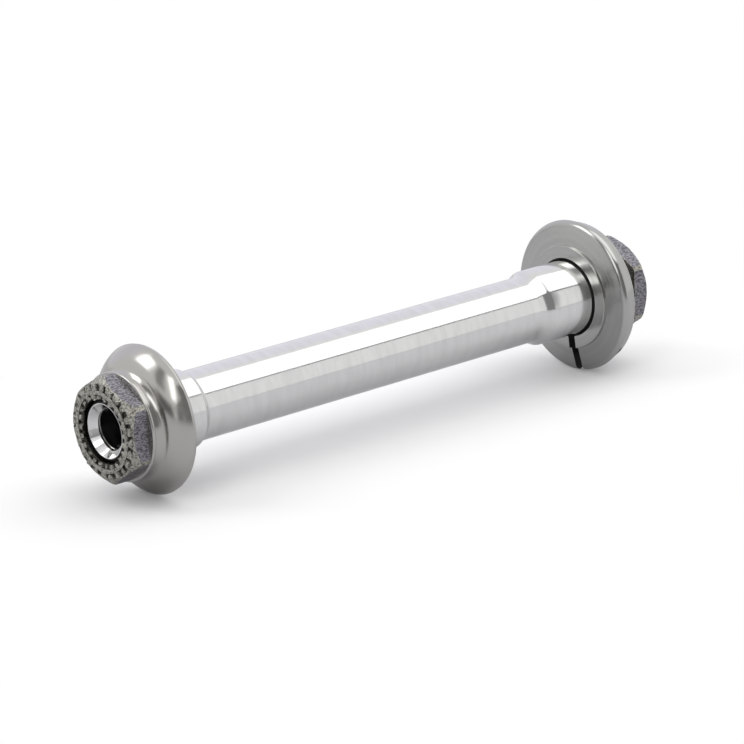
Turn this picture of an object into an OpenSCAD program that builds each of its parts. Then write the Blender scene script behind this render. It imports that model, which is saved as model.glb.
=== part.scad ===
// Rear hub axle with two serrated locknuts, a bell-shaped end cap and a split adjusting collar.
// The axle lies along X with its middle at the origin. The capped end is at -X, the collar end at +X.
// Stations are distances along the axle from the outer face of the locknut at -X, all in millimetres.

/* [Axle] */
// Distance over the outer faces of the two locknuts
over_locknut = 130; // [110:1:150]
// Diameter of the two bearing journals
journal_d = 15; // [14.6:0.1:15.6]
// Diameter of the middle tube between the journals
tube_d = 13.2; // [12.4:0.1:14]
// Length of journal that shows inboard of the cap, as wide as one bearing
cap_journal = 7; // [5:0.5:12]
// Length of the cone from that journal down to the tube
journal_cone = 1.3; // [0.6:0.1:4]
// Length of journal that shows inboard of the collar, bearing width and adjustment
collar_journal = 10.3; // [8:0.1:16]
// Radius of the concave fillet from the tube up to that journal
tube_fillet = 5.5; // [2:0.5:10]

/* [Axle threads] */
// Diameter of the stubs that carry the locknuts, at the middle of their thread
stub_d = 11.4; // [10.8:0.1:12]
// Diameter of the thread that carries the collar, at the middle of its thread
collar_thread_d = 14.2; // [13.4:0.1:14.4]
// Diameter of the threaded bore in each end, at its crests
end_bore_d = 6.8; // [6:0.1:7.6]
// Length of the threaded bore in each end
end_bore_len = 22; // [14:1:30]
// Diameter of the bore drilled right through the middle
core_bore_d = 6; // [3:0.1:6]
// Diameter of the countersink at the mouth of each end bore
countersink_d = 10; // [8:0.1:10.4]
// Depth of that countersink
countersink_depth = 1.5; // [0.6:0.1:2.5]
// Distance of the axle's ends inside the serrated faces
end_recess = 0.8; // [0.5:0.1:1.6]
// Size of the small chamfers and edge breaks
edge = 0.3; // [0.1:0.05:0.5]

/* [Locknuts] */
// Width across the flats of the hex
nut_af = 18; // [17:0.5:21]
// Diameter that the corners of the hex are turned down to
nut_turned_d = 20.2; // [19:0.1:21]
// Height of a locknut from its serrated face to its back
nut_h = 3.9; // [3.5:0.1:6]
// Outer diameter of the serrated face
serration_d = 17; // [15.6:0.1:17.4]
// Depth of the cone that runs from the serrated face out to the turned corners
nut_chamfer = 1.6; // [1:0.1:2.2]
// Number of serration notches in each of the two rings
notch_count = 24; // [16:1:32]
// Depth of a notch
notch_depth = 0.5; // [0.2:0.05:0.6]
// Width of a notch at the face
notch_w = 1; // [0.5:0.05:1.1]
// Width of the plain ring between the two rings of notches
notch_gap = 0.8; // [0.3:0.05:1.2]
// Angle of a hex corner about the axle at the capped end, measured from +Y towards +Z
cap_nut_angle = 26; // [0:1:60]
// Angle of a hex corner about the axle at the collar end, measured from +Y towards +Z
collar_nut_angle = 29; // [0:1:60]

/* [Cap] */
// Largest diameter of the bell-shaped cap
cap_d = 28; // [24:0.5:34]
// Diameter of the lip that the locknut bears on
cap_lip_d = 20.4; // [18.6:0.2:21]
// Thickness of that lip
cap_lip = 0.7; // [0.5:0.1:1.2]
// Diameter of the neck behind the lip
cap_neck_d = 18; // [17:0.2:18.4]
// Length of that neck before the bell flares
cap_neck = 0.3; // [0.2:0.1:2]
// Length of the flare from the neck to the largest diameter
cap_flare = 5.2; // [4:0.1:7]
// Thickness of the rim behind the largest diameter
cap_rim = 0.7; // [0.5:0.1:2]
// Diameter of the boss that presses on the inner ring of the bearing
boss_d = 21; // [18.5:0.5:23]
// Height of that boss on the cap
cap_boss = 0.4; // [0.3:0.1:2]
// Depth that the journal reaches into the cap
cap_socket = 3.2; // [1.5:0.1:5]

/* [Adjusting collar] */
// Largest diameter of the collar
collar_d = 30.5; // [28:0.5:34]
// Diameter at the back of the collar's rim
collar_back_d = 29; // [26:0.5:30.2]
// Width of the collar's rim
collar_rim = 2.3; // [1.5:0.1:2.6]
// Distance from the boss face back to the front corner of the rim
rim_setback = 1.2; // [0.9:0.1:1.8]
// Radius of the round on the front edge of the rim
rim_round = 1.1; // [0.6:0.1:1.3]
// Radius of the round on the back edge of the rim
rim_back_round = 0.8; // [0.4:0.1:1.1]
// Diameter of the collar's neck next to the locknut
collar_neck_d = 19.4; // [18:0.2:21]
// Radius of the hollow between the rim's back and the neck
hollow_r = 3.1; // [2:0.1:3.4]
// Length of the plain neck behind that hollow
neck_land = 1.4; // [0.6:0.1:2]
// Whole width of the collar along the axle
collar_w = 8.6; // [8:0.1:10]
// Height of the flat boss over the web round it
collar_boss = 0.6; // [0.3:0.1:1.2]
// Depth of the pilot bore that slides over the journal
pilot_depth = 3; // [2:0.1:4]
// Distance that the journal stops short of the bottom of that bore
pilot_relief = 0.8; // [0.3:0.1:1.5]
// Width of the saw slot
slot_w = 1.8; // [1:0.1:2.4]
// Angle of the slot about the axle, measured from +Y towards +Z
slot_angle = -98; // [-180:1:180]

/* [Pinch screw] */
// Diameter of the screw's shank
screw_d = 2; // [1.6:0.1:2.2]
// Diameter of the screw's head
screw_head_d = 3.8; // [3.2:0.1:4]
// Height of the screw's head
screw_head_h = 2; // [1.4:0.1:2.4]
// Width across the flats of the hex socket in the head
screw_socket_af = 1.5; // [1:0.1:1.8]
// Depth of that socket
screw_socket_depth = 1.1; // [0.6:0.1:1.3]
// Distance of the screw's axis inside the collar's largest radius
screw_inset = 3.85; // [3.2:0.05:4.4]
// Distance of the screw's axis behind the collar's boss face
screw_station = 3.5; // [3.2:0.1:4]
// Thickness of collar between the screw's head and the slot
screw_ear = 2; // [1.5:0.1:3]
// Length of the screw's thread on the far side of the slot
screw_thread_len = 5; // [3:0.5:6]

/* [Fits] */
// Radial clearance of a journal in a bore that only guides it
slide_clear = 0.03; // [0.01:0.01:0.08]
// Radial clearance between two threads, at the middle of their depth
thread_clear = 0.04; // [0.02:0.01:0.08]
// Radial clearance round the journal in the collar's pilot bore
pilot_clear = 0.1; // [0.05:0.01:0.2]
// Radial clearance round the pinch screw's shank and head
screw_clear = 0.1; // [0.05:0.01:0.2]
// Axial gap between the collar and the locknut beside it
collar_gap = 1.6; // [0.4:0.1:2.4]

/* [Hidden] */

facets = 96;
over = 1;                                   // overlap of a cutting solid past the face it cuts
bell_start = 25;                            // slope of the bell at its rim, in degrees
bell_steep = 75;                            // steepest slope of the bell, in degrees
arc_steps = 8;
rim_start = 80;                             // how far round the front edge of the rim begins, in degrees
rim_end = 60;                               // how far round the back edge of the rim runs, in degrees
hollow_sweep = 58;                          // how far the hollow turns away from the neck, in degrees

journal_r = journal_d / 2;
tube_r = tube_d / 2;
stub_r = stub_d / 2;
thread_r = collar_thread_d / 2;
nut_bore_r = stub_r + thread_clear;
turned_r = nut_turned_d / 2;
serration_r = serration_d / 2;
cap_r = cap_d / 2;
boss_r = boss_d / 2;

// Stations of the capped end
cap_front = nut_h;
bell_front = cap_front + cap_lip + cap_neck;
cap_crest = bell_front + cap_flare;
cap_face = cap_crest + cap_rim + cap_boss;
stub_end = cap_face - cap_socket;
cone_start = cap_face + cap_journal;

// Stations of the collar end
collar_nut = over_locknut - nut_h;
collar_back = collar_nut - collar_gap;
collar_face = collar_back - collar_w;
collar_journal_start = collar_face - collar_journal;
pilot_end = collar_face + pilot_depth;
thread_start = pilot_end - pilot_relief;
screw_offset = collar_d / 2 - screw_inset;
fillet_start = collar_journal_start - sqrt(pow(tube_fillet, 2) - pow(tube_fillet - (journal_r - tube_r), 2));

// Points of an arc, as [radius, station] pairs
function arc(centre_r, centre_s, rad, from, to, steps = arc_steps) =
    [for (i = [0 : steps]) let (a = from + (to - from) * i / steps)
        [centre_r + rad * cos(a), centre_s + rad * sin(a)]];

// Solid of revolution about the axle from [radius, station] points
module turned(points) {
    translate([-over_locknut / 2, 0, 0])
        rotate([0, 90, 0])
            rotate_extrude($fn = facets) polygon(points);
}

// Round hole along the axle
module axle_hole(r, from, to) {
    turned([[0, from], [r, from], [r, to], [0, to]]);
}

// Turned copy of a part made for the capped end, at the other end of the axle
module at_collar_end() {
    rotate([0, 0, 180]) children();
}

// Threaded bore of one end with its countersink
module end_bore() {
    mouth = end_recess;
    turned([[0, mouth - over], [countersink_d / 2, mouth - over], [countersink_d / 2, mouth],
            [end_bore_d / 2, mouth + countersink_depth], [end_bore_d / 2, mouth + end_bore_len],
            [0, mouth + end_bore_len]]);
}

module axle_shaft() {
    axle_end = over_locknut - end_recess;
    color([0.87, 0.87, 0.88])
    difference() {
        turned(concat(
            [[0, end_recess], [stub_r - edge, end_recess], [stub_r, end_recess + edge],
             [stub_r, stub_end], [journal_r - edge, stub_end], [journal_r, stub_end + edge],
             [journal_r, cone_start], [tube_r, cone_start + journal_cone]],
            arc(tube_r + tube_fillet, fillet_start, tube_fillet, 180,
                180 - asin((collar_journal_start - fillet_start) / tube_fillet)),
            [[journal_r, thread_start - edge], [thread_r, thread_start], [thread_r, collar_nut - edge],
             [thread_r - edge, collar_nut], [stub_r, collar_nut], [stub_r, axle_end - edge],
             [stub_r - edge, axle_end], [0, axle_end]]));
        end_bore();
        at_collar_end() end_bore();
        axle_hole(core_bore_d / 2, end_recess, axle_end);
    }
}

// Profile of the bell between its neck and its crest: a hollow arc, then a round one
function bell_hollow() =
    let (len = cap_flare, rise = cap_r - cap_neck_d / 2,
         a = sin(bell_steep), b = sin(bell_steep) - sin(bell_start),
         c = 1 - cos(bell_steep), d = cos(bell_start) - cos(bell_steep))
    [(len * d - rise * b) / (a * d - b * c), (rise * a - len * c) / (a * d - b * c)];

module drive_side_cap() {
    radii = bell_hollow();
    neck_r = cap_neck_d / 2;
    lip_r = cap_lip_d / 2;
    lip_back = cap_front + cap_lip;
    color([0.66, 0.65, 0.63])
    turned(concat(
        [[stub_r + slide_clear, cap_front], [lip_r - edge, cap_front], [lip_r, cap_front + edge],
         [lip_r, lip_back - edge / 2], [lip_r - edge / 2, lip_back], [neck_r, lip_back]],
        arc(neck_r + radii[0], bell_front, radii[0], 180, 180 - bell_steep),
        arc(cap_r - radii[1] * cos(bell_start), cap_crest + radii[1] * sin(bell_start), radii[1],
            -bell_steep, -bell_start),
        [[cap_r, cap_crest + edge], [cap_r - 2 * edge, cap_crest + cap_rim],
         [boss_r, cap_crest + cap_rim], [boss_r - edge, cap_face],
         [journal_r + slide_clear, cap_face], [journal_r + slide_clear, stub_end],
         [stub_r + slide_clear, stub_end]]));
}

// One V notch of the serrated face, from radius r0 to r1, with the face at station 0
module notch(r0, r1) {
    translate([-over_locknut / 2, 0, 0])
        translate([0, r0, 0])
            rotate([-90, 0, 0])
                linear_extrude(r1 - r0)
                    polygon([[-notch_depth, -notch_w], [-notch_depth, notch_w], [notch_depth, 0]]);
}

// Two rings of notches, the inner one half a step round from the outer one
module notches() {
    mid_r = (nut_bore_r + serration_r) / 2;
    step = 360 / notch_count;
    for (i = [0 : notch_count - 1]) {
        rotate([step * i, 0, 0]) notch(mid_r + notch_gap / 2, serration_r + over);
        rotate([step * (i + 0.5), 0, 0]) notch(nut_bore_r - over, mid_r - notch_gap / 2);
    }
}

// Locknut of the capped end, with one corner of its hex at an angle about the axle
module locknut(angle) {
    rotate([angle + 90, 0, 0])
        difference() {
            intersection() {
                translate([-over_locknut / 2, 0, 0])
                    rotate([0, 90, 0])
                        cylinder(h = nut_h, r = nut_af / sqrt(3), $fn = 6);
                turned([[0, 0], [serration_r, 0], [turned_r, nut_chamfer], [turned_r, nut_h - edge],
                        [turned_r - edge, nut_h], [0, nut_h]]);
            }
            axle_hole(nut_bore_r, -over, nut_h + over);
            notches();
        }
}

module drive_side_locknut() {
    color([0.55, 0.54, 0.52]) locknut(cap_nut_angle);
}

module collar_side_locknut() {
    color([0.48, 0.48, 0.48]) at_collar_end() locknut(180 - collar_nut_angle);
}

// Places a piece made about the slot: the slot then lies in the XZ plane, opening towards -Z
module at_slot() {
    rotate([slot_angle + 90, 0, 0]) children();
}

// Places a piece made along +Z at the pinch screw, with +Z pointing out of its head
module at_screw() {
    at_slot()
        translate([collar_face + screw_station - over_locknut / 2, 0, -screw_offset])
            rotate([-90, 0, 0]) children();
}

// Body of the collar before it is slit and drilled
module collar_blank() {
    rim_r = collar_d / 2;
    back_r = collar_back_d / 2;
    neck_r = collar_neck_d / 2;
    web = collar_face + collar_boss;
    rim_front = collar_face + rim_setback;
    rim_crest = rim_front + rim_round * sin(rim_start);
    rim_back = collar_face + rim_setback + rim_round + collar_rim - edge;
    turned(concat(
        [[journal_r + pilot_clear + edge, collar_face], [boss_r - edge / 2, collar_face],
         [boss_r, collar_face + edge / 2], [boss_r, web]],
        arc(rim_r - rim_round, rim_crest, rim_round, -rim_start, 0),
        [[back_r, rim_back]],
        arc(back_r - rim_back_round, rim_back, rim_back_round, 0, rim_end),
        arc(neck_r + hollow_r, collar_back - neck_land, hollow_r, 180 + hollow_sweep, 180),
        [[neck_r, collar_back], [thread_r + thread_clear, collar_back], [thread_r + thread_clear, pilot_end],
         [journal_r + pilot_clear, pilot_end], [journal_r + pilot_clear, collar_face + edge]]));
}

module adjusting_collar() {
    head_seat = slot_w / 2 + screw_ear;
    color([0.62, 0.62, 0.62])
    difference() {
        collar_blank();
        at_slot()
            translate([-over_locknut / 2, -slot_w / 2, -collar_d])
                cube([over_locknut, slot_w, collar_d]);
        at_screw() {
            translate([0, 0, head_seat])
                cylinder(h = collar_d, r = screw_head_d / 2 + screw_clear, $fn = facets);
            cylinder(h = head_seat + over, r = screw_d / 2 + screw_clear, $fn = facets);
            translate([0, 0, -collar_d])
                cylinder(h = collar_d, r = screw_d / 2 - thread_clear, $fn = facets);
        }
    }
}

module pinch_screw() {
    head_seat = slot_w / 2 + screw_ear;
    thread_core_r = screw_d / 2 - 2 * thread_clear;
    color([0.2, 0.2, 0.21])
    at_screw()
    difference() {
        union() {
            translate([0, 0, head_seat])
                rotate_extrude($fn = facets)
                    polygon([[0, 0], [screw_head_d / 2, 0], [screw_head_d / 2, screw_head_h - edge / 2],
                             [screw_head_d / 2 - edge / 2, screw_head_h], [0, screw_head_h]]);
            translate([0, 0, -slot_w / 2])
                cylinder(h = slot_w + screw_ear, r = screw_d / 2, $fn = facets);
            translate([0, 0, -slot_w / 2 - screw_thread_len])
                cylinder(h = screw_thread_len, r = thread_core_r, $fn = facets);
        }
        translate([0, 0, head_seat + screw_head_h - screw_socket_depth])
            cylinder(h = screw_socket_depth + over, r = screw_socket_af / sqrt(3), $fn = 6);
    }
}

axle_shaft();
drive_side_cap();
drive_side_locknut();
adjusting_collar();
pinch_screw();
collar_side_locknut();
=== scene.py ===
"""Rear hub axle: the fine form and the finish of each piece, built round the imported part."""

from math import acos, asin, atan, cos, hypot, pi, radians, sin, sqrt, tan, tau

import bmesh
import bpy
from bpy.props import FloatProperty, FloatVectorProperty, IntProperty, PointerProperty
from bpy.types import Operator, Panel, PropertyGroup
from mathutils import Matrix, Vector


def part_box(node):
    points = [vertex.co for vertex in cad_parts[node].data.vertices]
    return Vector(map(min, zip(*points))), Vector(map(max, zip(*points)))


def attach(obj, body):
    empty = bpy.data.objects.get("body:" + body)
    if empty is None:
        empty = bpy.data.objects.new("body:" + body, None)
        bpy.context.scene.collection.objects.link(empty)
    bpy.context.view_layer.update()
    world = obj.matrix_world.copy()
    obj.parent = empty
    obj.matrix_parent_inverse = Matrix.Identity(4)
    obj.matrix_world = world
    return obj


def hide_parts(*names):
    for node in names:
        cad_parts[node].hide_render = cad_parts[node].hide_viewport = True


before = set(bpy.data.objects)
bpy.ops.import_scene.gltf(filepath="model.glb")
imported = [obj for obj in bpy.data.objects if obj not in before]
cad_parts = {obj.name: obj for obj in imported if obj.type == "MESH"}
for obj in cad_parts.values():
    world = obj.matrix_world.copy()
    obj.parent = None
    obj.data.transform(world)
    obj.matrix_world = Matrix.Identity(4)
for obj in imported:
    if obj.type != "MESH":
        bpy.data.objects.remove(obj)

bl_info = {
    "name": "Rear hub axle",
    "version": (1, 0, 0),
    "blender": (4, 5, 0),
    "location": "3D View > Sidebar > Hub axle",
    "description": "Turns, serrates, threads and finishes a rear hub axle with its cap, collar and locknuts",
    "category": "Object",
}

MM = 0.001
TURNS = 288  # flat faces round a turned piece
HOLD = 0.06 * MM  # strip beside each round that keeps the shading of the flats true
SAME = MM / 10000  # points closer together than this are one point
THREAD = 0.6  # depth of a thread over its pitch
NEAR = 0.02 * MM  # a face whose middle is this close to a flat or a wall lies on it
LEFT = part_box("drive_side_locknut")[0].x
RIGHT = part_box("collar_side_locknut")[1].x
OVER_LOCKNUT = RIGHT - LEFT
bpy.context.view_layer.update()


def length(name, description, mm):
    """A length that a user can change, given in millimetres and kept in metres."""
    return FloatProperty(
        name=name, description=description, default=mm * MM, min=0, precision=5, unit="LENGTH")


def edges(mm):
    """The radius of a piece's broken edges."""
    return length("Edge", "Radius of the broken edges", mm)


def angle(name, description, degrees):
    """An angle that a user can change, given in degrees."""
    return FloatProperty(name=name, description=description, default=radians(degrees), unit="ROTATION")


def number(name, description, value):
    """A plain number that a user can change."""
    return FloatProperty(name=name, description=description, default=value)


def linear(code):
    """Linear RGBA of an sRGB hex colour."""
    parts = [int(code[i:i + 2], 16) / 255 for i in (1, 3, 5)]
    return [c / 12.92 if c <= 0.04045 else ((c + 0.055) / 1.055) ** 2.4 for c in parts] + [1.0]


def colour(name, description, code):
    """A colour that a user can change, given as an sRGB hex value."""
    return FloatVectorProperty(
        name=name, description=description, default=linear(code), size=4, min=0, max=1, subtype="COLOR")


class AxleSizes(PropertyGroup):
    """Sizes of the turned axle"""
    journal_d: length("Journal", "Diameter of the two bearing journals", 15)
    tube_d: length("Tube", "Diameter of the middle tube", 13.2)
    cap_journal: length("Cap journal", "Length of journal inboard of the cap", 7)
    cone: length("Cone", "Length of the cone from that journal down to the tube", 1.3)
    collar_journal: length("Collar journal", "Length of journal inboard of the collar", 10.3)
    fillet: length("Fillet", "Radius of the concave fillet up to that journal", 5.5)
    stub_d: length("Stub", "Diameter of the stubs under the locknuts", 11.4)
    collar_thread_d: length("Collar thread", "Diameter of the thread under the collar, at its root", 13.6)
    bore_d: length("End bore", "Diameter of the threaded end bores, at the root of the thread", 7.9)
    bore_len: length("End bore length", "Length of a threaded end bore", 22)
    core_d: length("Core bore", "Diameter of the bore through the middle", 6)
    countersink_d: length("Countersink", "Diameter of the countersink at each end", 10)
    countersink_depth: length("Countersink depth", "Depth of that countersink", 1.5)
    recess: length("Recess", "Distance of the axle's ends inside the serrated faces", 0.8)
    end_chamfer: length("End chamfer", "Width of the chamfer that starts the thread at each end", 0.55)
    edge: edges(0.2)


class NutSizes(PropertyGroup):
    """Sizes of the two locknuts"""
    across_flats: length("Across flats", "Width of the hex", 18)
    turned_d: length("Turned corners", "Diameter that the corners of the hex are turned to", 20.2)
    height: length("Height", "Height from the serrated face to the back", 3.9)
    bore_d: length("Bore", "Diameter of the threaded bore, at the root of the thread", 12.1)
    face_d: length("Serrated face", "Outer diameter of the serrated face", 17)
    chamfer: length("Chamfer", "Depth of the cone from that face to the turned corners", 1.6)
    notches: IntProperty(name="Notches", description="Number of notches in each ring", default=24, min=3)
    notch_depth: length("Notch depth", "Depth of a notch", 0.5)
    notch_w: length("Notch width", "Width of a notch at the face", 1)
    notch_gap: length("Plain ring", "Width of the plain ring between the two rings of notches", 0.8)
    tear: length("Tear", "How far the press has torn the teeth out of shape", 0.3)
    edge: edges(0.12)
    cap_turn: angle("Cap end turn", "Angle of a hex corner at the capped end", 26)
    collar_turn: angle("Collar end turn", "Angle of a hex corner at the collar end", 29)


class CapSizes(PropertyGroup):
    """Sizes of the bell-shaped cap"""
    crest_d: length("Crest", "Largest diameter of the bell", 28)
    lip_d: length("Lip", "Diameter of the lip that the locknut bears on", 20.4)
    lip: length("Lip thickness", "Thickness of that lip", 0.7)
    neck_d: length("Neck", "Diameter of the neck behind the lip", 18)
    neck: length("Neck length", "Length of that neck", 0.3)
    flare: length("Flare", "Length from the neck to the largest diameter", 5.2)
    rim: length("Rim", "Thickness of the rim behind the largest diameter", 0.7)
    boss_d: length("Boss", "Diameter of the boss that presses on the bearing", 21)
    boss: length("Boss height", "Height of that boss", 0.4)
    socket: length("Socket", "Depth that the journal reaches into the cap", 3.2)
    rim_slope: angle("Rim slope", "Slope of the bell at its rim", 25)
    steep: angle("Steepest slope", "Steepest slope of the bell", 71)
    play: length("Play", "Radial clearance on the axle", 0.03)
    edge: edges(0.2)


class CollarSizes(PropertyGroup):
    """Sizes of the split adjusting collar"""
    crest_d: length("Crest", "Largest diameter of the collar", 30.5)
    back_d: length("Back of the rim", "Diameter at the back of the rim", 29)
    rim: length("Rim", "Width of the rim", 2.3)
    setback: length("Setback", "Distance from the boss face back to the rim", 1.2)
    rim_round: length("Front round", "Radius of the round on the front edge of the rim", 1.1)
    back_round: length("Back round", "Radius of the round on the back edge of the rim", 0.8)
    neck_d: length("Neck", "Diameter of the neck next to the locknut", 19.4)
    hollow: length("Hollow", "Radius of the hollow between the rim's back and the neck", 3.1)
    land: length("Land", "Length of the plain neck behind that hollow", 1.4)
    width: length("Width", "Whole width of the collar", 8.6)
    boss_d: length("Boss", "Diameter of the boss", 21)
    boss: length("Boss height", "Height of the boss over the web", 0.6)
    pilot: length("Pilot bore", "Depth of the bore that slides over the journal", 3)
    pilot_play: length("Pilot play", "Radial clearance in that bore", 0.1)
    thread_d: length("Thread", "Diameter of the threaded bore", 14.3)
    mouth: length("Mouth", "Width of the chamfer at the mouth of that bore", 0.4)
    slot: length("Slot", "Width of the saw slot", 1.8)
    slot_turn: angle("Slot turn", "Angle of the slot about the axle", -98)
    nut_gap: length("Gap", "Gap between the collar and the locknut beside it", 1.6)
    edge: edges(0.15)


class ScrewSizes(PropertyGroup):
    """Sizes of the pinch screw"""
    shank_d: length("Shank", "Diameter of the shank", 2)
    head_d: length("Head", "Diameter of the head", 3.8)
    head: length("Head height", "Height of the head", 2)
    socket: length("Socket", "Width across the flats of its hex socket", 1.5)
    socket_depth: length("Socket depth", "Depth of that socket", 1.1)
    inset: length("Inset", "Distance of its axis inside the collar's largest diameter", 3.85)
    station: length("Station", "Distance of its axis behind the boss face", 3.5)
    ear: length("Ear", "Thickness of collar between the head and the slot", 2)
    reach: length("Reach", "Length of thread on the far side of the slot", 5)
    play: length("Play", "Radial clearance round the shank and the head", 0.1)
    edge: edges(0.12)


class ThreadSizes(PropertyGroup):
    """Pitches of the threads"""
    bore: length("End bores", "Pitch of the thread in the end bores", 1.25)
    nut: length("Locknuts", "Pitch of the thread in the locknuts", 1)
    collar: length("Collar", "Pitch of the thread under the collar", 1)
    screw: length("Pinch screw", "Pitch of the thread of the pinch screw", 0.4)


class Finishes(PropertyGroup):
    """Colours of the metals"""
    aluminium: colour("Turned aluminium", "Colour of the axle", "#E5E5E4")
    polished: colour("Polished steel", "Colour of the cap", "#BBB9B5")
    pressed: colour("Pressed steel", "Colour of the locknuts", "#B4B2A9")
    etched: colour("Etched steel", "Colour of the hex flats", "#9A989F")
    turned: colour("Turned steel", "Colour of the collar", "#B9B9B6")
    blackened: colour("Black oxide", "Colour of the pinch screw", "#2B2B2E")
    # Painted shade: the nearly black colour put on the slot walls, the collar's bore and the thread starts,
    # where shade falls
    grease: colour("Grease", "Colour of the grease in the slot, the bore and the thread starts", "#141312")


class Studio(PropertyGroup):
    """Camera, floor and light"""
    azimuth: angle("Azimuth", "Angle of the camera round the part", -40.6)
    elevation: angle("Elevation", "Angle of the camera above the floor", 17.2555)
    roll: angle("Roll", "Roll of the camera about its view", -2.1781)
    distance: length("Distance", "Distance of the camera from the middle of the axle", 646.316)
    side: length("Side", "Distance of the axle's middle to the right of the middle of the picture", 0.563)
    rise: length("Rise", "Height of the axle's middle above the middle of the picture", 3.654)
    focal: number("Focal length", "Focal length on a 36 mm sensor, in mm", 164.5)
    floor: colour("Floor", "Colour of the floor", "#FCFCFC")
    mirrored: colour("Mirrored floor", "Colour of the floor where the metal mirrors it", "#D2D2D4")
    backdrop: colour("Backdrop", "Colour of the wall behind the part where the metal mirrors it", "#E2E1EA")
    room: number("Room", "Brightness of the walls, where 1 is white", 0.87)
    softbox: number("Softbox", "Brightness of the softbox overhead", 1.7)
    window: number("Windows", "Brightness of the front window, of which the back one has 1.3 times", 2.65)
    shade: number("Shade", "Brightness of the dark side beside the camera", 0.24)


# Mesh helpers

def around(radius, station, turn):
    """Point at a radius and turn about the axle, at a station along it from the face of the locknut at -X."""
    return Vector((LEFT + station, radius * cos(turn), radius * sin(turn)))


def arc(centre_r, centre_s, radius, start, end, steps=10):
    """Plain corners along an arc of an outline, from one angle to another."""
    turns = [start + (end - start) * i / steps for i in range(steps + 1)]
    return [(centre_r + radius * cos(a), centre_s + radius * sin(a), 0) for a in turns]


def rounded(corners, steps=4):
    """Closed outline of (radius, station) points from (radius, station, round) corners."""
    points = []
    for i, (radius, station, ease) in enumerate(corners):
        here = Vector((radius, station))
        if not ease:
            points.append(here)
            continue
        before = Vector(corners[i - 1][:2]) - here
        after = Vector(corners[(i + 1) % len(corners)][:2]) - here
        a, b = before.normalized(), after.normalized()
        half = a.angle(b) / 2
        reach = min(ease / tan(half), 0.4 * before.length, 0.4 * after.length)
        hold = min(HOLD, 0.05 * before.length, 0.05 * after.length)
        centre = here + (a + b).normalized() * (reach / cos(half))
        start, end = here + a * reach - centre, here + b * reach - centre
        sweep = start.angle(end)
        points.append(here + a * (reach + hold))
        for k in range(steps + 1):
            part = sweep * k / steps
            points.append(centre + (start * sin(sweep - part) + end * sin(part)) / sin(sweep))
        points.append(here + b * (reach + hold))
    return points


def link(name, mesh):
    """Puts a mesh in the scene as a piece at the origin."""
    piece = bpy.data.objects.new(name, mesh)
    bpy.context.scene.collection.objects.link(piece)
    return piece


def settle(bm, mesh):
    """Merges the doubles of a surface, turns its faces outwards and keeps it in a mesh."""
    bmesh.ops.remove_doubles(bm, verts=bm.verts, dist=SAME)
    bmesh.ops.recalc_face_normals(bm, faces=bm.faces)
    bm.to_mesh(mesh)
    bm.free()
    return mesh


def baked(piece):
    """Plain mesh of a piece as its modifiers leave it. They are then removed."""
    graph = bpy.context.evaluated_depsgraph_get()
    mesh = bpy.data.meshes.new_from_object(piece.evaluated_get(graph), depsgraph=graph)
    piece.modifiers.clear()
    return mesh


def skin(name, rings, closed=True):
    """Piece whose surface joins closed rings of points. An open row of rings gets flat ends."""
    bm = bmesh.new()
    rows = [[bm.verts.new(p) for p in ring] for ring in rings]
    following = rows[1:] + rows[:1] if closed else rows[1:]
    for one, two in zip(rows, following):
        for i in range(len(one)):
            bm.faces.new((one[i - 1], one[i], two[i], two[i - 1]))
    if not closed:
        bm.faces.new(rows[0])
        bm.faces.new(rows[-1])
    return link(name, settle(bm, bpy.data.meshes.new(name)))


def revolve(name, outline, turns=None):
    """Piece turned about the axle from a closed outline, which may change with the turn."""
    turns = turns or [tau * i / TURNS for i in range(TURNS)]
    at = outline if callable(outline) else lambda turn: outline
    return skin(name, [[around(*point, turn) for point in at(turn)] for turn in turns])


def finish(piece, body, slot, *finishes, replaced=(), sharp=40):
    """Smooths a piece, gives it its finishes, if it has none yet, and parents it to the empty of its body."""
    piece.data.shade_smooth()
    piece.data.set_sharp_from_angle(angle=radians(sharp))
    if finishes:
        indices = [p.material_index for p in piece.data.polygons]
        piece.data.materials.clear()
        for material in metals(*finishes):
            piece.data.materials.append(material)
        piece.data.polygons.foreach_set("material_index", indices)
    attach(piece, body)
    if replaced:
        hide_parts(*replaced)


def move(x, y, z):
    """Placement that moves something."""
    return Matrix.Translation((x, y, z))


def spin(turn, axis):
    """Placement that turns something about an axis through the origin."""
    return Matrix.Rotation(turn, 4, axis)


def end_over_end():
    """Turn that carries a piece made for the capped end to the other end of the axle."""
    return spin(pi, "Z")


def down_axle(station, inward=1):
    """Placement along the axle of something made along +Z, pointing to +X, or to -X where inward is -1."""
    return move(LEFT + station, 0, 0) @ spin(inward * pi / 2, "Y")


# Geometry Nodes

def add(tree, kind, inputs=None, **settings):
    """Adds a node with its settings. An input is given a value, or the socket or node that feeds it."""
    node = tree.nodes.new(kind)
    for name, value in settings.items():
        setattr(node, name, value)
    for key, value in (inputs or {}).items():
        if isinstance(value, bpy.types.Node):
            value = value.outputs[0]
        if isinstance(value, bpy.types.NodeSocket):
            tree.links.new(value, node.inputs[key])
        else:
            node.inputs[key].default_value = value
    return node


def sums(tree, operation, *terms):
    """Socket with the result of one sum on numbers, sockets or nodes."""
    return add(tree, "ShaderNodeMath", dict(enumerate(terms)), operation=operation).outputs[0]


def new_tree(name, **kinds):
    """Empty geometry tree with named inputs, and its group input node."""
    tree = bpy.data.node_groups.new(name, "GeometryNodeTree")
    tree.interface.new_socket("Geometry", in_out="INPUT", socket_type="NodeSocketGeometry")
    tree.interface.new_socket("Geometry", in_out="OUTPUT", socket_type="NodeSocketGeometry")
    for key, kind in kinds.items():
        tree.interface.new_socket(key, in_out="INPUT", socket_type="NodeSocket" + kind)
    return tree, tree.nodes.new("NodeGroupInput").outputs


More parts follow.
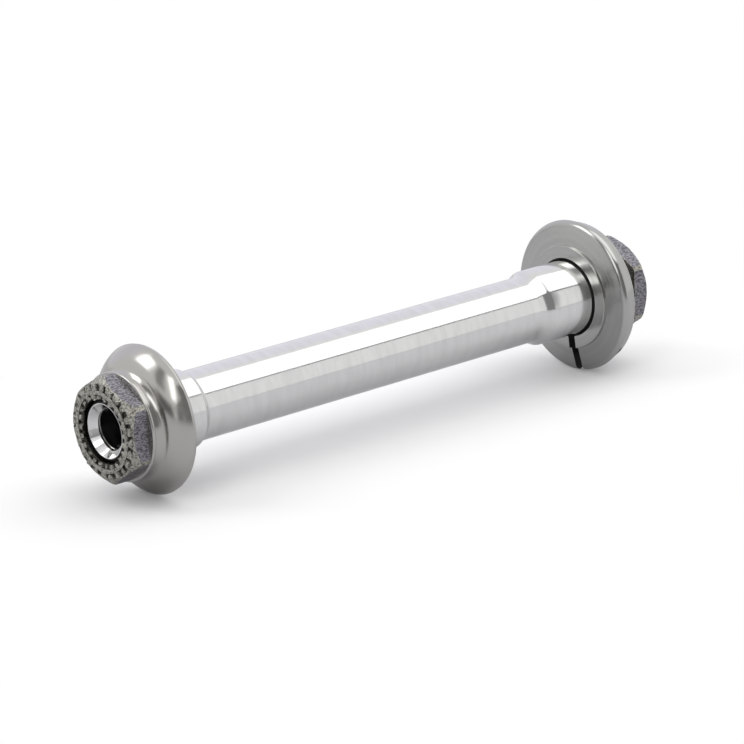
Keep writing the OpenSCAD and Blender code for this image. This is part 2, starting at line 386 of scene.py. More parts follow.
def close_tree(tree, shape, material):
    """Ends a geometry tree in real faces with a material."""
    real = add(tree, "GeometryNodeRealizeInstances", {"Geometry": shape})
    painted = add(tree, "GeometryNodeSetMaterial", {"Geometry": real, "Material": material})
    add(tree, "NodeGroupOutput", {"Geometry": painted})
    return tree


def serration_tree():
    """Ring of teeth that stand on a flat face, narrower at the top, a little uneven as pressed teeth are."""
    tree, given = new_tree(
        "Serration ring", Inner="Float", Outer="Float", Runout="Float", Count="Int", Gap="Float",
        Depth="Float", Sunk="Float", Phase="Float", Unevenness="Float", Tear="Float", Seed="Int",
        Material="Material")
    cube = add(tree, "GeometryNodeMeshCube", {"Vertices X": 5})
    position = add(tree, "GeometryNodeInputPosition")
    place = add(tree, "ShaderNodeSeparateXYZ", {0: position}).outputs
    along = sums(tree, "ADD", place["X"], 0.5)
    low = sums(tree, "LESS_THAN", place["Z"], 0.0)
    end = sums(tree, "MULTIPLY_ADD", low, given["Runout"], given["Outer"])
    span = sums(tree, "SUBTRACT", end, given["Inner"])
    radius = sums(tree, "MULTIPLY_ADD", along, span, given["Inner"])
    pitch = sums(tree, "DIVIDE", tau, given["Count"])
    high = sums(tree, "SUBTRACT", 1.0, low)
    gap = sums(tree, "MULTIPLY", high, given["Gap"])
    wide = sums(tree, "SUBTRACT", sums(tree, "MULTIPLY", radius, pitch), gap)
    floor = sums(tree, "MULTIPLY", low, sums(tree, "MULTIPLY", given["Sunk"], -1.0))
    shape = add(tree, "ShaderNodeCombineXYZ", {
        "X": radius, "Y": sums(tree, "MULTIPLY", place["Y"], wide),
        "Z": sums(tree, "MULTIPLY_ADD", high, given["Depth"], floor)})
    tooth = add(tree, "GeometryNodeSetPosition", {"Geometry": cube, "Position": shape})
    points = add(tree, "GeometryNodePoints", {"Count": given["Count"]})
    index = add(tree, "GeometryNodeInputIndex")
    turn = sums(tree, "MULTIPLY", sums(tree, "ADD", index, given["Phase"]), pitch)
    least = sums(tree, "SUBTRACT", 1.0, given["Unevenness"])
    uneven = add(tree, "FunctionNodeRandomValue", {
        2: least, 3: 1.0, "Seed": given["Seed"]}, data_type="FLOAT").outputs[1]
    ring = add(tree, "GeometryNodeInstanceOnPoints", {
        "Points": points, "Instance": tooth,
        "Rotation": add(tree, "ShaderNodeCombineXYZ", {"Z": turn}),
        "Scale": add(tree, "ShaderNodeCombineXYZ", {"X": 1.0, "Y": uneven, "Z": uneven})})
    real = add(tree, "GeometryNodeRealizeInstances", {"Geometry": ring})
    rough = add(tree, "GeometryNodeSetPosition", {
        "Geometry": real, "Offset": torn(tree, position, given["Tear"])})
    return close_tree(tree, rough, given["Material"])


def torn(tree, position, reach):
    """Shift of a point by a fixed noise, up to a reach each way on the face and half of it down.

    The commonest values of the noise, 0.3 to 0.7, are spread over that range.
    """
    noise = add(tree, "ShaderNodeTexNoise", {"Vector": position, "Scale": 1.1 / MM, "Detail": 2.0})
    shift = add(tree, "ShaderNodeMapRange", {
        "Vector": noise.outputs["Color"], 7: (0.3, 0.3, 0.3), 8: (0.7, 0.7, 0.7), 9: (-1.0, -1.0, -0.5),
        10: (1.0, 1.0, 0.0)}, data_type="FLOAT_VECTOR")
    return add(tree, "ShaderNodeVectorMath", {0: shift.outputs[1], "Scale": reach}, operation="SCALE")


def thread_tree():
    """One thread: a ridge with sloping flanks that climbs a right-handed helix about Z, outward or inward."""
    tree, given = new_tree(
        "Screw thread", Root="Float", Depth="Float", Pitch="Float", Length="Float", Material="Material")
    turns = sums(tree, "DIVIDE", given["Length"], given["Pitch"])
    helix = add(tree, "GeometryNodeCurveSpiral", {
        "Resolution": 64, "Rotations": turns, "Start Radius": given["Root"], "End Radius": given["Root"],
        "Height": given["Length"]})
    level = add(tree, "GeometryNodeSetCurveNormal", {"Curve": helix}, mode="Z_UP")
    buried = sums(tree, "MULTIPLY", given["Depth"], -0.15)
    base = sums(tree, "MULTIPLY", given["Pitch"], 0.46)
    crest = sums(tree, "MULTIPLY", given["Pitch"], 0.07)
    sides = [(buried, base), (given["Depth"], crest)]
    corners = sides + [(x, sums(tree, "MULTIPLY", y, -1.0)) for x, y in reversed(sides)]
    points = {
        f"Point {i + 1}": add(tree, "ShaderNodeCombineXYZ", {"X": x, "Y": y})
        for i, (x, y) in enumerate(corners)}
    ridge = add(tree, "GeometryNodeCurvePrimitiveQuadrilateral", points, mode="POINTS")
    swept = add(tree, "GeometryNodeCurveToMesh", {"Curve": level, "Profile Curve": ridge, "Fill Caps": True})
    return close_tree(tree, swept, given["Material"])


def grow(name, tree, placement, values):
    """Piece that a geometry tree makes from its inputs, as a plain mesh put in its place."""
    piece = link(name, bpy.data.meshes.new(name))
    modifier = piece.modifiers.new(tree.name, "NODES")
    modifier.node_group = tree
    for item in tree.interface.items_tree:
        if item.name in values:
            modifier[item.identifier] = values[item.name]
    mesh = baked(piece)
    mesh.transform(placement)
    bm = bmesh.new()
    bm.from_mesh(mesh)
    piece.data = settle(bm, mesh)
    return piece


# Materials

def new_metal(name, tint, roughness, anisotropic=0.0):
    """Bare metal with one colour and roughness: its material, node tree and shader."""
    material = bpy.data.materials.new(name)
    material.use_nodes = True
    tree = material.node_tree
    shader = tree.nodes["Principled BSDF"]
    shader.inputs["Base Color"].default_value = tint
    shader.inputs["Metallic"].default_value = 1.0
    shader.inputs["Roughness"].default_value = roughness
    shader.inputs["Anisotropic"].default_value = anisotropic
    shader.inputs["Anisotropic Rotation"].default_value = 0.25
    if anisotropic:
        tangent = add(tree, "ShaderNodeTangent", direction_type="RADIAL", axis="X")
        tree.links.new(tangent.outputs[0], shader.inputs["Tangent"])
    return material, tree, shader


def object_place(tree):
    """Place on the piece, in metres."""
    return add(tree, "ShaderNodeTexCoord").outputs["Object"]


def object_axes(tree):
    """The same place along X, Y and Z."""
    return add(tree, "ShaderNodeSeparateXYZ", {0: object_place(tree)}).outputs


def radius_at(tree):
    """Distance from the axle's own axis."""
    place = object_axes(tree)
    squares = [sums(tree, "POWER", place[axis], 2.0) for axis in "YZ"]
    return sums(tree, "SQRT", sums(tree, "ADD", *squares))


def tool_rings(tree, width):
    """Noise that changes only along the axle and away from it, as the marks of a turning tool do.

    Real ones are about 0.1 mm apart, which is too fine to show, so each finish draws them coarser.
    """
    travel = sums(tree, "DIVIDE", sums(tree, "ADD", object_axes(tree)["X"], radius_at(tree)), width)
    noise = {"W": travel, "Scale": 1.0, "Detail": 3.0, "Roughness": 0.6}
    return add(tree, "ShaderNodeTexNoise", noise, noise_dimensions="1D").outputs["Fac"]


def blots(tree, size, detail=2.0):
    """Noise with blots of one size, given as a length or as three lengths along X, Y and Z."""
    sizes = size if hasattr(size, "__len__") else (size, size, size)
    scaled = add(tree, "ShaderNodeMapping", {"Vector": object_place(tree), "Scale": [1 / s for s in sizes]})
    noise = {"Vector": scaled, "Scale": 1.0, "Detail": detail}
    return add(tree, "ShaderNodeTexNoise", noise).outputs["Fac"]


def between(tree, fac, low=0.0, high=1.0, start=0.35, end=0.65):
    """Number that runs from low to high while fac runs from start to end."""
    return add(tree, "ShaderNodeMapRange", {
        "Value": fac, "From Min": start, "From Max": end, "To Min": low, "To Max": high}).outputs[0]


def relief(tree, shader, height, depth, base=None):
    """Bumps the shader by a height of one depth, over an earlier bump if there is one."""
    inputs = {"Distance": depth, "Height": height}
    if base:
        inputs["Normal"] = base
    bump = add(tree, "ShaderNodeBump", inputs).outputs[0]
    tree.links.new(bump, shader.inputs["Normal"])
    return bump


def tinted(tree, shader, fac, share, tint):
    """Colour that runs from a dark share of a tint to the whole of it with fac."""
    dark = [c * share for c in tint[:3]] + [1.0]
    mix = add(tree, "ShaderNodeMix", {"Factor": fac, 6: dark, 7: tint}, data_type="RGBA")
    tree.links.new(mix.outputs[2], shader.inputs["Base Color"])


def turned_aluminium(tint):
    """Aluminium bar, fine turned: mirror-like across the light, with faint rings where the tool passed."""
    material, tree, shader = new_metal("turned aluminium", tint, 0.13, 0.5)
    wide = blots(tree, (1.6 * MM, 6 * MM, 6 * MM), 3.0)
    tinted(tree, shader, between(tree, wide), 0.93, tint)
    tree.links.new(between(tree, wide, 0.17, 0.11), shader.inputs["Roughness"])
    relief(tree, shader, tool_rings(tree, 0.4 * MM), 0.0006 * MM)
    return material


def polished_steel(tint):
    """Stainless steel turned and polished with a cloth: a soft warm mirror with hair-fine rings."""
    material, tree, shader = new_metal("polished stainless steel", tint, 0.2, 0.3)
    tree.links.new(between(tree, blots(tree, 3 * MM), 0.16, 0.24), shader.inputs["Roughness"])
    fine = relief(tree, shader, tool_rings(tree, 0.3 * MM), 0.003 * MM)
    relief(tree, shader, blots(tree, 0.25 * MM), 0.004 * MM, fine)
    return material


def serrated_depth(tree):
    """Number that runs from 0 at the serrated faces of the locknuts to 1 at the roots of their teeth."""
    depth = sums(tree, "SUBTRACT", OVER_LOCKNUT / 2, sums(tree, "ABSOLUTE", object_axes(tree)["X"]))
    return between(tree, depth, start=0.05 * MM, end=0.45 * MM)


def pressed_steel(tint):
    """Pressed and plated steel: grainy, with painted shade that darkens it from the tops of its teeth down to
    their roots.
    """
    material, tree, shader = new_metal("pressed steel", tint, 0.34)
    grit = blots(tree, 0.4 * MM, 4.0)
    on_face = between(tree, radius_at(tree), 1.0, 0.0, 8.6 * MM, 9.0 * MM)
    hollow = sums(tree, "MINIMUM", serrated_depth(tree), on_face)
    # Painted shade: the serrated face darkens with depth from the tops of the teeth to their roots
    painted_tooth_shade = between(tree, hollow, 1.0, 0.12, 0.35, 1.0)
    tooth_shade_and_grit = sums(tree, "MULTIPLY", painted_tooth_shade, between(tree, grit, 0.3, 1.0, 0.38, 0.56))
    tinted(tree, shader, tooth_shade_and_grit, 0.1, tint)
    tree.links.new(between(tree, grit, 0.45, 0.25), shader.inputs["Roughness"])
    relief(tree, shader, grit, 0.2 * MM)
    return material


def etched_steel(tint):
    """Steel left rough by the press on the hex flats: short wavy ripples a quarter of a millimetre apart."""
    material, tree, shader = new_metal("etched steel", tint, 0.38)
    ripples = blots(tree, (0.6 * MM, 0.22 * MM, 0.22 * MM), 2.0)
    tinted(tree, shader, between(tree, ripples, start=0.42, end=0.58), 0.35, tint)
    relief(tree, shader, ripples, 0.16 * MM)
    return material


def turned_steel(tint):
    """Stainless steel faced on a lathe: a satin grey with rings round the axle."""
    material, tree, shader = new_metal("turned stainless steel", tint, 0.2, 0.4)
    rings = tool_rings(tree, 0.4 * MM)
    tinted(tree, shader, between(tree, tool_rings(tree, 1.2 * MM)), 0.93, tint)
    tree.links.new(between(tree, rings, 0.17, 0.23), shader.inputs["Roughness"])
    relief(tree, shader, rings, 0.0014 * MM)
    return material


def black_oxide(tint):
    """Steel with black oxide: dark, slightly oily."""
    material, tree, shader = new_metal("black oxide steel", tint, 0.3)
    relief(tree, shader, blots(tree, 0.2 * MM), 0.006 * MM)
    return material


def painted_shade_black(tint):
    """Painted shade: a nearly black, dull finish put on the walls of the saw slot, the collar's bore and the
    axle's thread starts, where shade falls.
    """
    material, tree, shader = new_metal("dark grease", tint, 0.6)
    shader.inputs["Metallic"].default_value = 0.0
    relief(tree, shader, blots(tree, 0.3 * MM), 0.02 * MM)
    return material


MAKERS = {
    "aluminium": turned_aluminium, "polished": polished_steel, "pressed": pressed_steel,
    "etched": etched_steel, "turned": turned_steel, "blackened": black_oxide, "grease": painted_shade_black}
made = {}


def metals(*names):
    """The materials of some finishes, each made the first time that it is asked for."""
    for name in names:
        if name not in made:
            made[name] = MAKERS[name](getattr(bpy.context.scene.axle_finishes, name))
    return [made[name] for name in names]


# Operators

def collar_front(scene):
    """Station of the boss face of the collar."""
    collar = scene.collar_sizes
    return OVER_LOCKNUT - scene.nut_sizes.height - collar.nut_gap - collar.width


class AXLE_OT_shaft(Operator):
    """Turns the axle shaft with its journals, stubs and end bores"""
    bl_idname = "hub_axle.shaft"
    bl_label = "Axle shaft"

    def execute(self, context):
        scene = context.scene
        size, cap, collar, nut = scene.axle_sizes, scene.cap_sizes, scene.collar_sizes, scene.nut_sizes
        journal, tube, stub = size.journal_d / 2, size.tube_d / 2, size.stub_d / 2
        thread, bore, core = size.collar_thread_d / 2, size.bore_d / 2, size.core_d / 2
        cap_face = nut.height + cap.lip + cap.neck + cap.flare + cap.rim + cap.boss
        shoulder = cap_face - cap.socket
        cone = cap_face + size.cap_journal
        nut_back = OVER_LOCKNUT - nut.height
        collar_face = collar_front(scene)
        journal_start, pilot = collar_face - size.collar_journal, collar_face + collar.pilot
        rise = journal - tube
        run = sqrt(size.fillet ** 2 - (size.fillet - rise) ** 2)
        top = pi - asin(run / size.fillet)
        first, last = size.recess, OVER_LOCKNUT - size.recess
        edge, bevel = size.edge, size.end_chamfer
        tip = [
            (stub, bevel, edge / 2), (stub - bevel, 0, 0), (size.countersink_d / 2, 0, edge / 2),
            (bore, size.countersink_depth, edge / 2), (bore, size.bore_len, 0),
            (core, size.bore_len + rise, 0)]
        corners = [(radius, first + depth, ease) for radius, depth, ease in reversed(tip)]
        corners += [
            (stub, shoulder, 0), (journal, shoulder, edge), (journal, cone, edge / 2),
            (tube, cone + size.cone, edge)]
        corners += arc(tube + size.fillet, journal_start - run, size.fillet, pi, top, steps=12)
        corners += [
            (journal, pilot - edge, edge), (thread, pilot, 0), (thread, nut_back, edge), (stub, nut_back, 0)]
        corners += [(radius, last - depth, ease) for radius, depth, ease in tip]
        piece = revolve("turned_axle", rounded(corners))
        # Painted shade: the stubs under the locknuts and the chamfers that start their threads get the nearly
        # black second finish
        for face in piece.data.polygons:
            middle = face.center
            ending = abs(middle.x) > OVER_LOCKNUT / 2 - nut.height
            if ending and hypot(middle.y, middle.z) > stub - bevel:
                face.material_index = 1
        finish(piece, "axle", "turned_aluminium", "aluminium", "grease", replaced=["axle_shaft"],
               sharp=50)
        return {"FINISHED"}


class AXLE_OT_cap(Operator):
    """Turns the bell-shaped cap"""
    bl_idname = "hub_axle.cap"
    bl_label = "Bell cap"

    def execute(self, context):
        size, axle = context.scene.cap_sizes, context.scene.axle_sizes
        front = context.scene.nut_sizes.height
        crest, neck, boss = size.crest_d / 2, size.neck_d / 2, size.boss_d / 2
        guide, journal = axle.stub_d / 2 + size.play, axle.journal_d / 2 + size.play
        rise, steep, slope = crest - neck, size.steep, size.rim_slope
        a, b = sin(steep), sin(steep) - sin(slope)
        c, d = 1 - cos(steep), cos(slope) - cos(steep)
        hollow = (size.flare * d - rise * b) / (a * d - b * c)
        crown = (rise * a - size.flare * c) / (a * d - b * c)
        lip, bell = front + size.lip, front + size.lip + size.neck
        brow = bell + size.flare
        back, edge = brow + size.rim, size.edge
        face = back + size.boss
        corners = [
            (guide, front, edge), (size.lip_d / 2, front, 1.5 * edge), (size.lip_d / 2, lip, edge),
            (neck, lip, 0)]
        corners += arc(neck + hollow, bell, hollow, pi, pi - steep, steps=20)
        across, along = crest - crown * cos(slope), brow + crown * sin(slope)
        corners += arc(across, along, crown, -steep, -slope, steps=24)[1:-1]
        corners += [
            (crest, brow, edge), (crest - edge, back, edge), (boss, back, 0), (boss, face, edge),
            (journal, face, edge), (journal, face - size.socket, 0), (guide, face - size.socket, 0)]
        piece = revolve("bell_cap", rounded(corners))
        finish(piece, "axle", "polished_steel", "polished", replaced=["drive_side_cap"], sharp=50)
        return {"FINISHED"}


class AXLE_OT_locknuts(Operator):
    """Makes the two locknuts with their serrated faces"""
    bl_idname = "hub_axle.locknuts"
    bl_label = "Locknuts"

    def execute(self, context):
        size = context.scene.nut_sizes
        teeth = serration_tree()
        ends = [
            ("cap_nut", size.cap_turn, Matrix.Identity(4), "drive_side_locknut", 3),
            ("collar_nut", pi - size.collar_turn, end_over_end(), "collar_side_locknut", 8)]
        for name, turn, placement, node, seed in ends:
            piece = revolve(name, lambda at: self.outline(size, at - turn), self.turns(size, turn))
            self.mark_flats(piece, size)
            piece.data.transform(placement)
            finish(piece, "axle", "nut_steel", "pressed", "etched", replaced=[node], sharp=24)
            at = placement @ spin(turn, "X") @ down_axle(size.notch_depth, -1)
            values = {
                "Count": size.notches, "Gap": size.notch_w, "Depth": size.notch_depth, "Unevenness": 0.3,
                "Sunk": size.notch_depth / 10, "Tear": size.tear, "Seed": seed,
                "Material": metals("pressed")[0]}
            for ring_name, ring in self.rings(size).items():
                serration = grow(f"{name}_{ring_name}", teeth, at, {**values, **ring})
                finish(serration, "axle", "nut_steel", sharp=20)
        return {"FINISHED"}

    def bands(self, size):
        """Radii of the bore, of both edges of the plain ring, and of the serrated face."""
        bore, face, half_gap = size.bore_d / 2, size.face_d / 2, size.notch_gap / 2
        middle = (bore + face) / 2
        return bore, middle - half_gap, middle + half_gap, face

    def rings(self, size):
        """Inputs of the outer and the inner ring of teeth."""
        bore, inside, outside, face = self.bands(size)
        return {
            "outer_teeth": {"Inner": outside, "Outer": face, "Runout": size.notch_depth, "Phase": 0.5},
            "inner_teeth": {"Inner": bore, "Outer": inside, "Runout": 0.0, "Phase": 0.0}}

    def turns(self, size, turn):
        """Turns of the faces round the nut, close together at the edges of its flats."""
        land = pi / 6 - acos(size.across_flats / size.turned_d)
        flat = pi / 3 - 2 * land
        near_corner, along_flat = 10, 50
        steps = [-land + 2 * land * i / near_corner for i in range(near_corner)]
        steps += [land + flat * i / along_flat for i in range(along_flat)]
        return [turn + side * pi / 3 + step for side in range(6) for step in steps]

    def outline(self, size, turn):
        """Section of the nut at a turn from a corner, its face cut down to the roots of the teeth."""
        off_flat = turn % (pi / 3) - pi / 6
        turned = size.turned_d / 2
        hexagon = min(size.across_flats / 2 / cos(off_flat), turned)
        bore, inside, outside, face = self.bands(size)
        deep, edge = size.notch_depth, size.edge
        slope = size.chamfer / (turned - face)
        root = min(face + deep / slope, size.across_flats / 2 - edge / 2)
        return rounded([
            (bore, deep, edge), (inside, deep, 0), (inside, 0, edge / 2),
            (outside, 0, edge / 2), (outside, deep, 0), (root, deep, 0),
            (hexagon, (hexagon - face) * slope, edge), (hexagon, size.height, edge),
            (bore, size.height, edge)], 3)

    def mark_flats(self, piece, size):
        """Gives the second material to the faces on the six flats."""
        flat = size.across_flats / 2
        for face in piece.data.polygons:
            centre = face.center
            upright = abs(face.normal.x) < 0.1
            aligned = abs(centre.y * face.normal.y + centre.z * face.normal.z - flat) < NEAR
            if upright and aligned:
                face.material_index = 1


class AXLE_OT_collar(Operator):
    """Turns, slits and drills the adjusting collar"""
    bl_idname = "hub_axle.collar"
    bl_label = "Adjusting collar"

    def execute(self, context):
        size, axle = context.scene.collar_sizes, context.scene.axle_sizes
        outline = rounded(self.corners(collar_front(context.scene), size, axle))
        half = size.slot / 2
        rings = []
        for i in range(TURNS + 1):
            ring = []
            for radius, station in outline:
                shy = asin(half / radius)
                turn = size.slot_turn + shy + i / TURNS * (tau - 2 * shy)
                ring.append(around(radius, station, turn))
            rings.append(ring)
        piece = skin("split_collar", rings, closed=False)
        self.drill(context, piece)
        # Painted shade: the walls of the saw slot and the bore of the collar get the nearly black second
        # finish
        across = Vector((0, -sin(size.slot_turn), cos(size.slot_turn)))
        bore = axle.journal_d / 2 + size.pilot_play + size.mouth
        for face in piece.data.polygons:
            beside = abs(abs(face.center.dot(across)) - half) < NEAR
            sawn = beside and abs(face.normal.dot(across)) > 0.99
            if sawn or hypot(face.center.y, face.center.z) < bore:
                face.material_index = 1
        finish(piece, "collar", "collar_steel", "turned", "grease", replaced=["adjusting_collar"])
        return {"FINISHED"}

    def corners(self, front, size, axle):
        """Section of the collar, from its bore out to the rim and back."""
        back, edge = front + size.width, size.edge
        crest, heel, neck, boss = size.crest_d / 2, size.back_d / 2, size.neck_d / 2, size.boss_d / 2
        pilot, thread = axle.journal_d / 2 + size.pilot_play, size.thread_d / 2
        start, turned_under, hollow_start = radians(80), radians(60), radians(238)
        rim_crest = front + size.setback + size.rim_round * sin(start)
        rim_back = front + size.setback + size.rim_round + size.rim - 2 * edge
        corners = [
            (pilot, front + size.mouth, 0), (pilot + size.mouth, front, 0), (boss, front, edge),
            (boss, front + size.boss, 0)]
        corners += arc(crest - size.rim_round, rim_crest, size.rim_round, -start, 0)
        corners += arc(heel - size.back_round, rim_back, size.back_round, 0, turned_under, steps=8)
        corners += arc(neck + size.hollow, back - size.land, size.hollow, hollow_start, pi, steps=12)
        return corners + [
            (neck, back, edge), (thread, back, edge), (thread, front + size.pilot, 0),
            (pilot, front + size.pilot, 0)]

    def drill(self, context, piece):
        """Cuts the hole and the counterbore of the pinch screw."""
        screw, size = context.scene.screw_sizes, context.scene.collar_sizes
        seat = size.slot / 2 + screw.ear
        head, shank = screw.head_d / 2 + screw.play, screw.shank_d / 2
        holes = [
            (head, seat, size.crest_d), (shank + screw.play, 0, seat + screw.ear), (shank, -size.crest_d, 0)]
        for radius, start, end in holes:
            bm = bmesh.new()
            bmesh.ops.create_cone(
                bm, cap_ends=True, segments=64, radius1=radius, radius2=radius, depth=end - start)
            bm.transform(screw_placement(context) @ move(0, 0, (start + end) / 2))
            mesh = bpy.data.meshes.new("drill")
            bm.to_mesh(mesh)
            bm.free()
            tool = link("drill", mesh)
            modifier = piece.modifiers.new("drill", "BOOLEAN")
            modifier.operation, modifier.solver, modifier.object = "DIFFERENCE", "EXACT", tool
            piece.data = baked(piece)
            bpy.data.objects.remove(tool)


def screw_placement(context):
    """Placement of something made along +Z about the origin at the pinch screw, with +Z out of its head."""
    screw, collar = context.scene.screw_sizes, context.scene.collar_sizes
    along = LEFT + collar_front(context.scene) + screw.station
    return (spin(collar.slot_turn + pi / 2, "X")
            @ move(along, 0, screw.inset - collar.crest_d / 2)
            @ spin(-pi / 2, "X"))


class AXLE_OT_pinch_screw(Operator):
    """Makes the small socket screw that closes the collar"""
    bl_idname = "hub_axle.pinch_screw"
    bl_label = "Pinch screw"

    def execute(self, context):
        size, collar = context.scene.screw_sizes, context.scene.collar_sizes
        seat = collar.slot / 2 + size.ear + size.play / 10
        head, top, edge = size.head_d / 2, seat + size.head, size.edge
        floor = top - size.socket_depth
        shank, tip = size.shank_d / 2 - 2 * size.edge, -collar.slot / 2 - size.reach
        count = 96
        rings = []
        for i in range(count):
            turn = tau * i / count
            off_flat = turn % (pi / 3) - pi / 6
            socket = size.socket / 2 / cos(off_flat)
            outline = rounded([
                (0, tip, 0), (shank, tip, edge), (shank, seat, 0), (head, seat, edge / 2), (head, top, edge),
                (socket, top, edge / 3), (socket, floor, 0), (0, floor, 0)])
            rings.append([Vector((r * cos(turn), r * sin(turn), s)) for r, s in outline])
        piece = skin("socket_screw", rings)
        piece.data.transform(screw_placement(context))
        finish(piece, "clamp_screw", "black_steel", "blackened", replaced=["pinch_screw"], sharp=30)
        return {"FINISHED"}


class AXLE_OT_threads(Operator):
    """Cuts the threads that show in the bores, on the axle and on the pinch screw"""
    bl_idname = "hub_axle.threads"
    bl_label = "Threads"

    def execute(self, context):
        scene = context.scene
        pitch, axle, nut, screw = scene.thread_sizes, scene.axle_sizes, scene.nut_sizes, scene.screw_sizes
        slot_w = scene.collar_sizes.slot
        to_mount = -0.44  # brings the ridges in to the bore that the mount states
        start, shown = 3, 2.5  # turns from the nut back to the collar's thread, and turns of it
        screw_start = -slot_w / 2 - screw.reach + pitch.screw
        end_thread = (
            "turned_aluminium", "aluminium", axle.recess + axle.countersink_depth, axle.bore_d / 2,
            to_mount, pitch.bore, axle.bore_len - axle.countersink_depth - pitch.bore)
        nut_thread = (
            "nut_steel", "pressed", nut.notch_depth + pitch.nut / 2, nut.bore_d / 2, -THREAD / 2, pitch.nut,
            axle.recess)
        rows = []
        for kind, (slot, metal, station, *sizes) in (("end", end_thread), ("nut", nut_thread)):
            for end, turn in (("cap", Matrix.Identity(4)), ("collar", end_over_end())):
                rows.append((f"{end}_{kind}_thread", "axle", slot, metal, turn @ down_axle(station), *sizes))
        rows += [
            ("collar_thread", "axle", "turned_aluminium", "aluminium",
             down_axle(OVER_LOCKNUT - nut.height - start * pitch.collar), axle.collar_thread_d / 2,
             THREAD / 2, pitch.collar, shown * pitch.collar),
            ("screw_thread", "clamp_screw", "black_steel", "blackened",
             screw_placement(context) @ move(0, 0, screw_start),
             screw.shank_d / 2 - 2 * screw.edge, THREAD, pitch.screw, screw.reach + slot_w)]
        tree = thread_tree()
        for name, body, slot, metal, at, root, depth, step, span in rows:
            piece = grow(name, tree, at, {
                "Root": root, "Depth": depth * step, "Pitch": step, "Length": span,
                "Material": metals(metal)[0]})
            finish(piece, body, slot)
        return {"FINISHED"}


class AXLE_OT_studio(Operator):
    """Sets up the floor, the light and the camera"""
    bl_idname = "hub_axle.studio"
    bl_label = "Studio"

    def execute(self, context):
        studio = context.scene.axle_studio
        self.floor(context, studio)
        self.softbox(studio)
        self.room(context, studio)
        self.camera(context, studio)
        context.scene.view_settings.view_transform = "Standard"
        return {"FINISHED"}

    def floor(self, context, studio):
        """Pale floor under both rims. It fades to white away from the part."""
        cap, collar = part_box("drive_side_cap"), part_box("adjusting_collar")
        low, lower = cap[0].z, collar[0].z
        run = (collar[0].x + collar[1].x) / 2 - cap[1].x
        slope = atan((low - lower) / run)
        placement = move(cap[1].x, 0, low) @ spin(slope, "Y")
        self.board("floor", 6, 6, placement, self.floor_material(studio), seen=True)

    def board(self, name, width, depth, placement, material, seen):
        """Flat rectangle of the stage, in metres, which the camera sees or not."""
        corners = [(x * width / 2, y * depth / 2, 0) for x, y in ((-1, -1), (1, -1), (1, 1), (-1, 1))]
        mesh = bpy.data.meshes.new(name)
        mesh.from_pydata([placement @ Vector(c) for c in corners], [], [(0, 1, 2, 3)])
        mesh.materials.append(material)
        plane = link(name, mesh)
        plane.visible_camera = seen

    def bare(self, name):
        """Material without nodes, and its node tree."""
        material = bpy.data.materials.new(name)
        material.use_nodes = True
        material.node_tree.nodes.clear()
        return material, material.node_tree

    def floor_material(self, studio):
        """Matt white board. Seen directly it is plain white, apart from the shadow round the part."""
        material, tree = self.bare("matt white board")
        path = add(tree, "ShaderNodeLightPath").outputs
        colours = {"Factor": path["Is Glossy Ray"], 6: studio.floor, 7: studio.mirrored}
        tint = add(tree, "ShaderNodeMix", colours, data_type="RGBA")
        board = add(tree, "ShaderNodeBsdfDiffuse", {"Color": tint.outputs[2]})
        glow = add(tree, "ShaderNodeEmission")
        squash = add(tree, "ShaderNodeMapping", {"Vector": object_place(tree), "Scale": (0.45, 1.0, 0.0)})
        away = add(tree, "ShaderNodeVectorMath", {0: squash}, operation="LENGTH").outputs["Value"]
        fade = add(tree, "ShaderNodeMapRange", {
            "Value": away, "From Min": 0.02, "From Max": 0.08, "To Min": 0.05},
            interpolation_type="SMOOTHSTEP").outputs[0]
        seen = sums(tree, "MULTIPLY", fade, path["Is Camera Ray"])
        both = add(tree, "ShaderNodeMixShader", {0: seen, 1: board, 2: glow})
        add(tree, "ShaderNodeOutputMaterial", {"Surface": both})
        return material

    def panel(self, name, height, width, placement, strength, tint=(1, 1, 1, 1)):
        """Glowing panel that the camera doesn't see."""
        material, tree = self.bare(name)
        glow = add(tree, "ShaderNodeEmission", {"Color": tint, "Strength": strength})
        add(tree, "ShaderNodeOutputMaterial", {"Surface": glow})
        self.board(name, height, width, placement, material, seen=False)

    def facing(self, side, height, distance):
        """Placement of a panel that faces the part, at a compass angle and a height angle in degrees."""
        turn, lean = radians(side), radians(90 - height)
        return (spin(turn, "Z") @ spin(lean, "Y")
                @ move(0, 0, distance))

    def softbox(self, studio):
        """Softbox overhead with a dark rim, two windows, four dark cards and the wall behind.

        Each line gives a panel's height and width in metres, its place and its brightness.
        """
        facing = self.facing
        self.panel("softbox", 0.85, 0.62, move(0.375, -0.18, 0.55), studio.softbox)
        self.panel("softbox_rim", 0.85, 0.06, move(0.375, -0.52, 0.55), 0.03)
        self.panel("back_window", 0.36, 0.3, facing(141, 44, 0.8), 1.3 * studio.window)
        self.panel("front_window", 0.5, 0.17, facing(-152, 38, 0.8), studio.window)
        self.panel("dark_corner", 0.55, 0.24, facing(177, 40, 0.85), 0.3)
        self.panel("dark_end", 0.34, 0.6, facing(180, 2, 0.9), 0.1)
        self.panel("dark_corner_in_front", 1.3, 0.42, facing(-141, -2, 1.2), 0.25)
        self.panel("dark_side", 1.2, 0.9, facing(-103, 18, 0.9), studio.shade)
        self.panel("backdrop", 0.9, 1.6, facing(70, 28, 1.0), 1.15, studio.backdrop)

    def room(self, context, studio):
        """Even pale room, white where it is seen directly."""
        world = bpy.data.worlds.new("studio")
        world.use_nodes = True
        tree = world.node_tree
        tree.nodes.clear()
        path = add(tree, "ShaderNodeLightPath").outputs
        strength = between(tree, path["Is Camera Ray"], studio.room, 1.0, 0.0, 1.0)
        back = add(tree, "ShaderNodeBackground", {"Color": (1, 1, 1, 1), "Strength": strength})
        add(tree, "ShaderNodeOutputWorld", {"Surface": back})
        context.scene.world = world

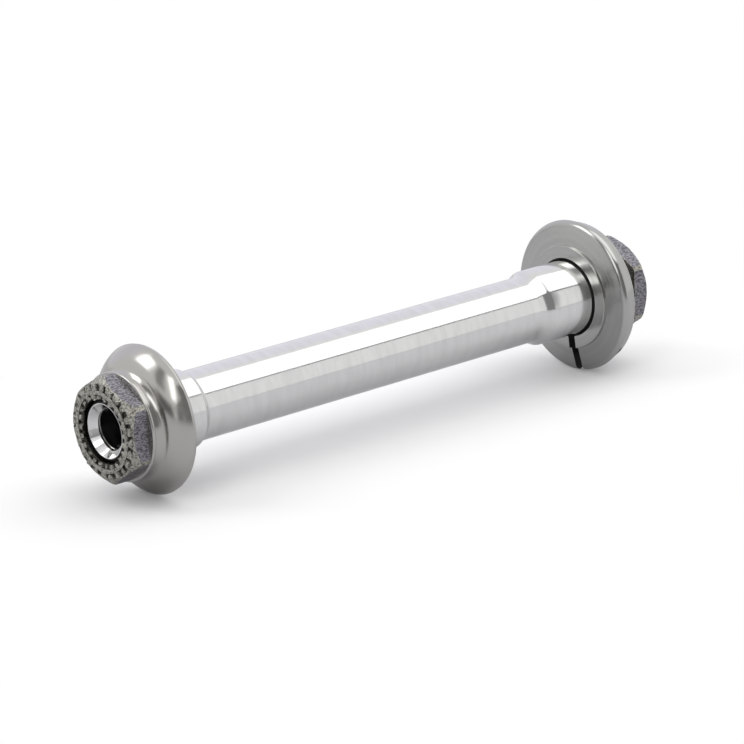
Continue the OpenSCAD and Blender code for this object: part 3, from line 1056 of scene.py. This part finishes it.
    def camera(self, context, studio):
        """Camera at the photograph's viewing angle."""
        lens = bpy.data.cameras.new("camera")
        lens.lens, lens.sensor_width = studio.focal, 36.0
        lens.clip_start, lens.clip_end = 0.01, 20.0
        view = bpy.data.objects.new("camera", lens)
        view.matrix_world = (
            spin(studio.azimuth, "Z") @ spin(pi / 2 - studio.elevation, "X")
            @ spin(studio.roll, "Z")
            @ move(-studio.side, -studio.rise, studio.distance))
        context.scene.collection.objects.link(view)
        context.scene.camera = view


OPERATORS = (
    AXLE_OT_shaft, AXLE_OT_cap, AXLE_OT_locknuts, AXLE_OT_collar, AXLE_OT_pinch_screw, AXLE_OT_threads,
    AXLE_OT_studio)
GROUPS = {
    "axle_sizes": AxleSizes, "nut_sizes": NutSizes, "cap_sizes": CapSizes, "collar_sizes": CollarSizes,
    "screw_sizes": ScrewSizes, "thread_sizes": ThreadSizes, "axle_finishes": Finishes, "axle_studio": Studio}


class AXLE_PT_panel(Panel):
    """Lists the steps that make the hub axle"""
    bl_idname = "AXLE_PT_panel"
    bl_label = "Hub axle"
    bl_space_type = "VIEW_3D"
    bl_region_type = "UI"
    bl_category = "Hub axle"

    def draw(self, context):
        for operator in OPERATORS:
            self.layout.operator(operator.bl_idname)
        for name, group in GROUPS.items():
            box = self.layout.box()
            for key in group.__annotations__:
                box.prop(getattr(context.scene, name), key)


CLASSES = (*GROUPS.values(), *OPERATORS, AXLE_PT_panel)


def register():
    for each in CLASSES:
        bpy.utils.register_class(each)
    for name, group in GROUPS.items():
        setattr(bpy.types.Scene, name, PointerProperty(type=group))


def unregister():
    for name in GROUPS:
        delattr(bpy.types.Scene, name)
    for each in reversed(CLASSES):
        bpy.utils.unregister_class(each)


def main():
    """Makes the whole part."""
    register()
    bpy.ops.hub_axle.studio()
    bpy.ops.hub_axle.shaft()
    bpy.ops.hub_axle.cap()
    bpy.ops.hub_axle.locknuts()
    bpy.ops.hub_axle.collar()
    bpy.ops.hub_axle.pinch_screw()
    bpy.ops.hub_axle.threads()


if __name__ == "__main__":
    main()
